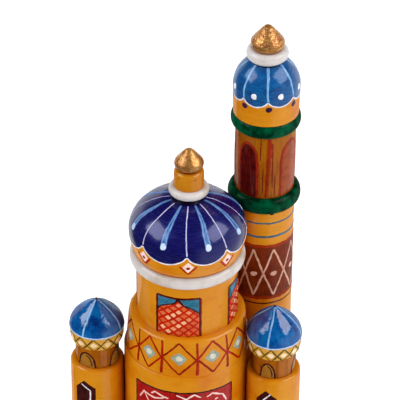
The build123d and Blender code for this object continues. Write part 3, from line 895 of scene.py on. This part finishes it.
def paint_side_lantern(side, look):
    cup = Turned(f"{side}_tower_lantern")
    rim, foot = SIDE_RIM + look["lift"], LANTERN_FOOT + look["lift"]
    step, half = FULL_TURN / look["crossings"], look["half"]
    Paint(cup, "yellow", "cup_ground").film(0, FULL_TURN, rim - 6, rim - 0.02, uneven=0.08, tone=0.6)
    cells = Paint(cup, "cup_cell", "cup_cells", layer=1)
    lines = Paint(cup, "olive", "cup_lattice", layer=1)
    waist, low, high = rim - 3.1, rim - 5.9, rim - 0.2
    for k in range(look["crossings"]):
        crossing = look["crossing"] + step * k
        cells.dot(crossing + step / 2, waist + 0.1, 2.6, 2.5, corners=0.6, tone=vary(0.5, 1))
        for lean in (-1, 1):
            control = [(crossing - lean * step / 2, low), (crossing + lean * step / 2, high)]
            lines.stroke(control, vary(0.55, 0.75), 0.08, tone=vary(0.15, 0.45))
    arches = Paint(cup, "alcove", "arches")
    outlines = Paint(cup, "dark", "arch_lines", layer=1)
    for angle in repeat(look["alcove"], 4):
        outer, inner = arch(angle, half, foot, 6.1), arch(angle, 0.62 * half, foot, 5)
        arches.film(angle - half, angle + half, foot, outer, tone=0.7)
        spots = [angle + half * share for share in np.linspace(-1, 1, 13)]
        outlines.stroke([(a, outer(a)) for a in spots], 0.75, 0.05, tone=0.6)
        spots = [angle + half * share for share in (-0.1, 0.1, 0.3, 0.45, 0.55, 0.615)]
        outlines.stroke([(a, inner(a)) for a in spots], 0.6, 0.05, tone=0.7)


def paint_side_body(side, look):
    body = Turned(f"{side}_tower_body")
    gable = look["gable"]
    left, right = gable[0][0], gable[-1][0]
    frames = Paint(body, "dark", "windows")
    whites = Paint(body, "white", "window_lines", layer=1)
    for turn in (0, 180):
        frames.film(
            turn + left, turn + right, 24, lambda a: float(np.interp(a - turn, *zip(*gable))), tone=0.55
        )
        control = [(turn + angle, height) for angle, height in look["gleam"]]
        whites.stroke(control, (0.5, 0.6, 0.85, 0.6, 0.5), 0.05, sharp=True, tone=0.5)


# ---------------- minaret


def paint_minaret_head():
    head = Turned("minaret_head", bore=5)
    cusps = [-37.8, 6.7, 55.5, 99, 144, 189, 234, 279]
    drops = [-18.2, 28.8, 76, 121, 166, 211, 256, 294.1]
    cusp_z, lobe_z = 156.6, 154.2
    seat = float(head.z[-1])
    blue = Paint(head, "blue", "petals")
    lines = Paint(head, "rib_blue", "petal_lines", layer=1)
    white = Paint(head, "white", "drops", layer=1)
    paint_petals(blue, white, cusps, cusp_z, lobe_z, 0.42, 0.6)
    dots = Paint(head, "purple", "band_dots")
    for angle in cusps:
        control = [(angle + 0.8, cusp_z), (angle - 0.8, 160), (angle, 163.6), (angle + 0.6, seat - 0.15)]
        lines.stroke(control, (0.8, 0.8, 0.95, 1.2), 0.06, tone=0.42)
        dots.dot(angle + 2, 153.5, 2.3, 2.2, lean=vary(-35, 35), tone=0.4)
    for angle in drops:
        white.dot(angle, 158.1, 2.15, 1.9, lean=vary(-45, 10), point=0.35, tone=0.8, coat=0.1)


GALLERY_STREAKS = [(-16, 132, 141.2), (-11, 118, 129), (7.5, 121, 139), (12.5, 117, 126)]


def paint_gallery():
    drum = Turned("minaret_gallery_drum", bore=3)
    foot, top = 116.6, 138.2
    arches = Paint(drum, "maroon", "arches")
    bright = Paint(drum, "orange_brown", "bright_arches")
    stripes = Paint(drum, "brick", "stripes", layer=1)
    streaks = Paint(drum, "maroon", "streaks")
    for centre, half, paint in ((-30, 20, arches), (60, 23.5, bright), (150, 21, arches), (240, 22, bright)):
        roof = arch(centre, half, top - 6.5, 6.5)
        paint.film(centre - half, centre + half, foot, roof, tone=0.35)
        edge = [(a, roof(a)) for a in [centre + half * share for share in np.linspace(-1, 1, 13)]]
        outline = [(centre - half - 0.5, foot)] + edge + [(centre + half + 0.5, foot)]
        stripes.stroke(outline, 1.15, 0.08, sharp=True, tone=0.4)
        if paint is arches:
            bright.film(centre - half - 11, centre - half - 1, foot, top - 2, tone=0.5)
        gap = centre + 41.5
        upper = [(gap, 141.2), (gap + 2.2, 137.5), (gap + 2, 132.8)]
        lower = [(gap + 0.4, 133.5), (gap - 1.5, 126), (gap - 3.8, 117)]
        stripes.stroke(upper, (1.3, 1.9, 1.6), 0.05, tone=0.6)
        stripes.stroke(lower, (1.6, 1.3, 1.2), 0.08, tone=0.35)
        for step, low, high in GALLERY_STREAKS:
            ends = [(gap + step, low), (gap + step + vary(-1, 1), high)]
            streaks.stroke(ends, (0.3, 0.45, 0.25), 0.06, tone=0.9)


def paint_shaft():
    shaft = Turned("minaret_shaft", bore=3)
    lines = Paint(shaft, "grey_blue", "blue_lines")
    ring_line(lines, 106.1, 0.75, tone=0.3)
    ring_line(lines, 100.4, 0.95, tone=0.35)
    Paint(shaft, "chestnut", "brown_band").film(0, FULL_TURN, 73.8, 96.5, uneven=0.06, tone=0.6)
    edges = Paint(shaft, "brick", "band_edges", layer=1)
    ring_line(edges, 96.3, 1.3, tone=0.5)
    ring_line(edges, 74, 1.4, tone=0.6)
    ring_line(Paint(shaft, "dark", "thin_line"), 71.5, 0.6, tone=0.7)
    Paint(shaft, "black", "drip").dot(20, 109.9, 1.6, 0.6, tone=0.3)
    zigzag = Paint(shaft, "cream", "zigzag", layer=1)
    tops = [-13.2, 25.3, 71.1, 118, 166, 214, 263, 312]
    high, waist, low = 94.8, 84.6, 75.0
    for left, right in zip(tops, tops[1:] + [tops[0] + FULL_TURN]):
        crossing = (left + right) / 2 + 0.4
        for top in (left, right):
            zigzag.stroke([(top, high), (crossing, waist)], vary(0.72, 0.9), 0.08, tone=0.5)
            zigzag.stroke([(crossing, waist), (top + 1.2, low)], vary(0.72, 0.9), 0.08, tone=0.5)
        zigzag.dot(left + 1.2, 84.3, 2.7, 1.9, lean=12, tone=vary(0.3, 0.8), coat=0.08)


# ---------------- putting it together


def dark_slit_strip(tower):
    """A dark strip down the slit where a tower touches the main drum."""
    board_top, top = 7.2, 54.1
    first, second = Turned("main_lower_drum", bore=15.0), Turned(tower)
    start, end = Vector((first.x, first.y)), Vector((second.x, second.y))
    way = (end - start).normalized()
    touch = start + way * float(first.r.max())
    side = Vector((-way.y, way.x))
    section = [(-0.13, -1.5), (0.13, -1.5), (0.1, -0.7), (0.1, 1.7), (-0.1, 1.7), (-0.1, -0.7)]
    rings = []
    for height in np.linspace(board_top, top, 12):
        spots = [touch + way * out + side * (along + vary(-0.08, 0.08)) for out, along in section]
        rings.append([(*spot, height) for spot in spots])
    Paint(second, "frame", "dark_slit_strip").tube(rings, closed=False, tone=0.1)


slots_of_nodes = {part["node"]: part["material_slot"] for part in frame["record"]["subparts"]}
for name, node in frame["nodes"].items():
    material = OWN_FINISH.get(name) or LACQUERS[slots_of_nodes[name]]
    for slot in node.material_slots:
        slot.material = material

paint_main_dome()
paint_upper_drum()
paint_tier()
paint_lower_drum()
paint_neck()
for tower, look in SIDE_TOWERS.items():
    paint_side_dome(tower, look)
    paint_side_lantern(tower, look)
    paint_side_body(tower, look)
paint_minaret_head()
paint_gallery()
paint_shaft()
for tower in ("left_tower_body", "right_tower_body", "minaret_shaft"):
    dark_slit_strip(tower)
gap_shadow("main_dome", "main_collar", 4.8, 1.6, 0.13)
gap_shadow("minaret_head", "minaret_collar", 5.0, 0.35, 0.3)
for layer in painted:
    layer.build()


# ---------------- floor, light and camera


def direction(azimuth, elevation):
    """Unit vector from the model; azimuth from the front and positive to the right, in degrees."""
    turn, climb = math.radians(azimuth), math.radians(elevation)
    return Vector((math.sin(turn) * math.cos(climb), -math.cos(turn) * math.cos(climb), math.sin(climb)))


def pale_floor():
    """A plain white product table, lit a little from below."""
    half = 4.0
    mesh = bpy.data.meshes.new("studio_floor")
    corners = [(-half, -half, 0), (half, -half, 0), (half, half, 0), (-half, half, 0)]
    mesh.from_pydata(corners, [], [(0, 1, 2, 3)])
    make = Finish("studio_floor_white", Roughness=0.9, Emission_Color=(1, 1, 1, 1), Emission_Strength=0.35)
    make.into("Base Color", make.mix(make.noise((3, 3, 3), 2.0), srgb(248, 248, 246), srgb(252, 252, 250)))
    mesh.materials.append(make.material)
    floor = add_object("studio_floor", mesh)
    floor.visible_glossy = False


def studio_world():
    """Dark round the photographer, with white paper behind the model and on the right below it."""
    world = bpy.data.worlds.new("studio_world")
    world.use_nodes = True
    make = Nodes(world.node_tree)
    sky = make.node("TexCoord").outputs["Generated"]
    split = make.node("SeparateXYZ", {0: sky}).outputs
    azimuth = make.math("ARCTAN2", split["X"], make.math("MULTIPLY", split["Y"], -1.0))
    paper = make.node("ValToRGB", {0: make.between(azimuth, -math.pi, math.pi)})
    stops = ((-126, 0.9), (-118, 0.02), (18, 0.02), (34, 0.5), (112, 0.6), (126, 0.9))
    while len(paper.color_ramp.elements) < len(stops):
        paper.color_ramp.elements.new(0.5)
    for element, (angle, value) in zip(paper.color_ramp.elements, stops):
        element.position = (angle + 180) / FULL_TURN
        element.color = (value, value, value, 1)
    lift = make.between(split["Z"], 0.45, 0.1)
    background = world.node_tree.nodes["Background"].inputs
    make.put(make.mix(lift, (0.015, 0.015, 0.018, 1), paper.outputs[0]), background["Color"])
    make.put(1.1, background["Strength"])
    bpy.context.scene.world = world


def softbox(name, azimuth, elevation, distance, wide, tall, radiance, mirrored=True):
    """A rectangular softbox aimed at the middle of the model."""
    aim, way = Vector((0.0, 0.0, 0.1)), direction(azimuth, elevation)
    light = bpy.data.lights.new(name, "AREA")
    light.shape = "RECTANGLE"
    light.size, light.size_y = wide, tall
    light.energy = radiance * math.pi * wide * tall
    light.color = (0.98, 0.97, 1.0)
    box = add_object(name, light)
    box.location = aim + way * distance
    box.rotation_euler = way.to_track_quat("Z", "Y").to_euler()
    box.visible_camera = False
    box.visible_glossy = mirrored


def place_camera():
    """The photographer's view: slightly from the right, looking down at 35 degrees."""
    target, distance, away = Vector((4.13, -5.05, 122.03)) * MM, 850 * MM, direction(5.5, 35.0)
    data = bpy.data.cameras.new("camera")
    data.lens, data.sensor_width = 225.0, 36.0
    data.clip_start, data.clip_end = 0.05, 20.0
    camera = add_object("camera", data)
    roll = Matrix.Rotation(math.radians(0.45), 3, "Z")
    camera.rotation_euler = (away.to_track_quat("Z", "Y").to_matrix() @ roll).to_euler()
    camera.location = target + away * distance
    bpy.context.scene.camera = camera


pale_floor()
studio_world()
softbox("left_softbox", -74, 40, 1.0, 0.72, 0.56, 4.2)
softbox("right_softbox", 80, 42, 1.0, 0.78, 0.6, 4.0)
softbox("front_fill", 5, 38, 1.6, 1.3, 1.0, 2.5, mirrored=False)
softbox("top_fill", 170, 75, 1.6, 1.6, 1.6, 1.1, mirrored=False)
place_camera()
bpy.context.scene.view_settings.view_transform = "Standard"
